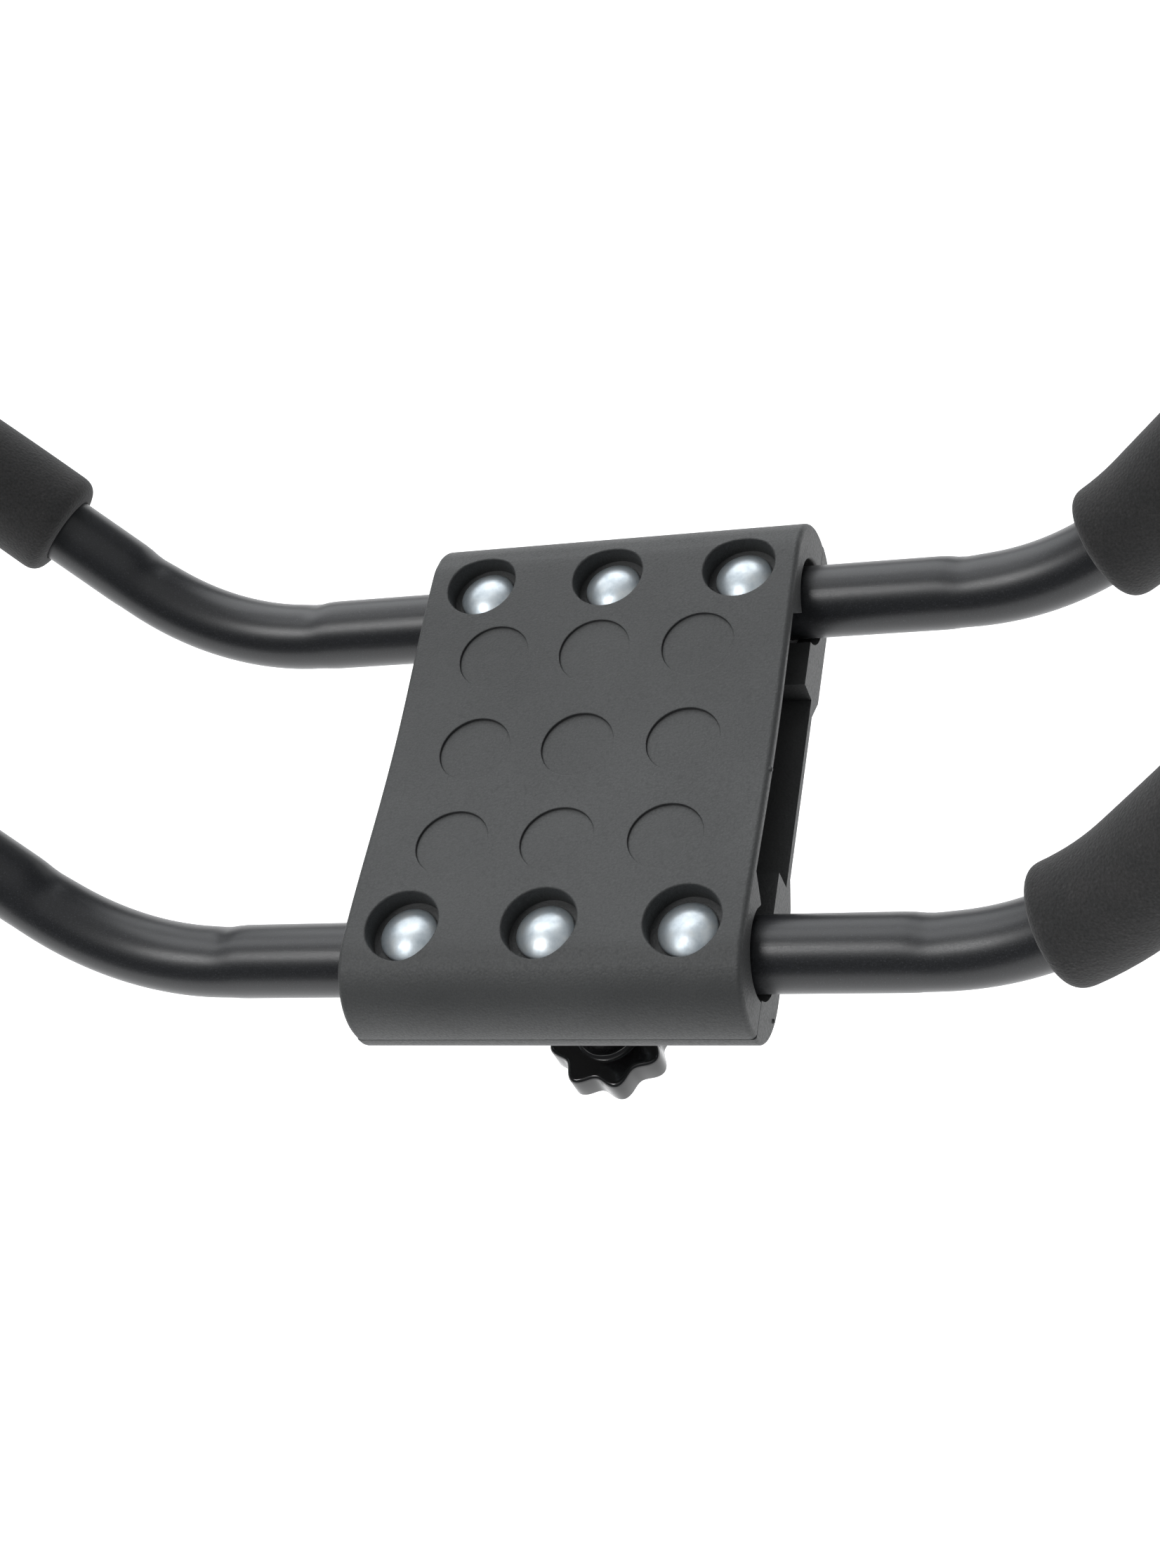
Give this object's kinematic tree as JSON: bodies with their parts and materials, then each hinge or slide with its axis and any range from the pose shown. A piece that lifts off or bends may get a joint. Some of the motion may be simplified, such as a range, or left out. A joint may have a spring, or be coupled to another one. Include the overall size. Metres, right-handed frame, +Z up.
{
  "type": "pull up bar",
  "caption": "Doorway pull-up bar: two gull-wing steel bars with foam grips in a dished moulded clamp, with a straight door bar and hook arms for the door trim.",
  "frame": {"origin": "middle of the rubber strip's underside, where it rests on the top edge of the door trim", "axes": "+X to the right along the bars, +Y from the user through the doorway, +Z up"},
  "size_m": [0.9516, 0.5164, 0.5295],
  "materials": {
    "cover_plastic": "fine pebbled moulding texture, dark grey",
    "powder_coat": "satin black powder coat on steel tube",
    "grip_foam": "matte black closed-cell foam with a fine grain",
    "zinc_plate": "bright zinc plating, slightly blue",
    "raw_steel": "plain drawn steel",
    "knob_plastic": "glossy black moulded plastic",
    "rubber": "matte black rubber",
    "brass": "turned brass"
  },
  "bodies": {
    "frame": {"top_cover": "cover_plastic", "bottom_cover": "cover_plastic", "front_splice_sleeve": "raw_steel", "clamp_bolt_front_left": "zinc_plate", "clamp_nut_front_left": "zinc_plate", "clamp_bolt_front_middle": "zinc_plate", "clamp_bolt_front_right": "zinc_plate", "clamp_nut_front_right": "zinc_plate", "front_bar_left": "powder_coat", "foam_grip_front_left": "grip_foam", "front_bar_right": "powder_coat", "foam_grip_front_right": "grip_foam", "rear_splice_sleeve": "raw_steel", "clamp_bolt_rear_left": "zinc_plate", "clamp_nut_rear_left": "zinc_plate", "clamp_bolt_rear_middle": "zinc_plate", "clamp_nut_rear_middle": "zinc_plate", "clamp_bolt_rear_right": "zinc_plate", "clamp_nut_rear_right": "zinc_plate", "rear_bar_left": "powder_coat", "foam_grip_rear_left": "grip_foam", "rear_bar_right": "powder_coat", "foam_grip_rear_right": "grip_foam", "door_bar": "powder_coat", "hook_angle": "powder_coat", "side_bracket_left": "powder_coat", "hook_arm_left": "powder_coat", "front_tube_plug_left": "raw_steel", "front_end_screw_left": "zinc_plate", "rear_tube_plug_left": "raw_steel", "rear_end_screw_left": "zinc_plate", "door_tube_plug_left": "raw_steel", "door_end_screw_left": "zinc_plate", "casing_pad_left": "rubber", "arm_plug_left": "raw_steel", "arm_screw_left": "zinc_plate", "hook_screw_left": "zinc_plate", "hook_nut_left": "zinc_plate", "arm_cap_left": "knob_plastic", "side_bracket_right": "powder_coat", "hook_arm_right": "powder_coat", "front_tube_plug_right": "raw_steel", "front_end_screw_right": "zinc_plate", "rear_tube_plug_right": "raw_steel", "rear_end_screw_right": "zinc_plate", "door_tube_plug_right": "raw_steel", "door_end_screw_right": "zinc_plate", "casing_pad_right": "rubber", "arm_plug_right": "raw_steel", "arm_screw_right": "zinc_plate", "hook_screw_right": "zinc_plate", "hook_nut_right": "zinc_plate", "arm_cap_right": "knob_plastic", "trim_strip": "rubber"},
    "washer": {"knob_washer": "zinc_plate"},
    "knob": {"star_knob": "knob_plastic", "knob_insert": "brass"}
  },
  "joints": [
    {"name": "knob_back_off", "type": "slide", "parent": "frame", "child": "washer", "axis": [0, 0, -1], "range_m": [0, 0.00375]},
    {"name": "knob_turn", "type": "hinge", "parent": "washer", "child": "knob", "pos_m": [0, -0.4357, -0.448], "axis": [0, 0, -1], "range_deg": [0, 1080]}
  ],
  "couplings": [
    {"joint": "knob_turn", "follows": "knob_back_off", "rad_per_m": 5026.5}
  ]
}
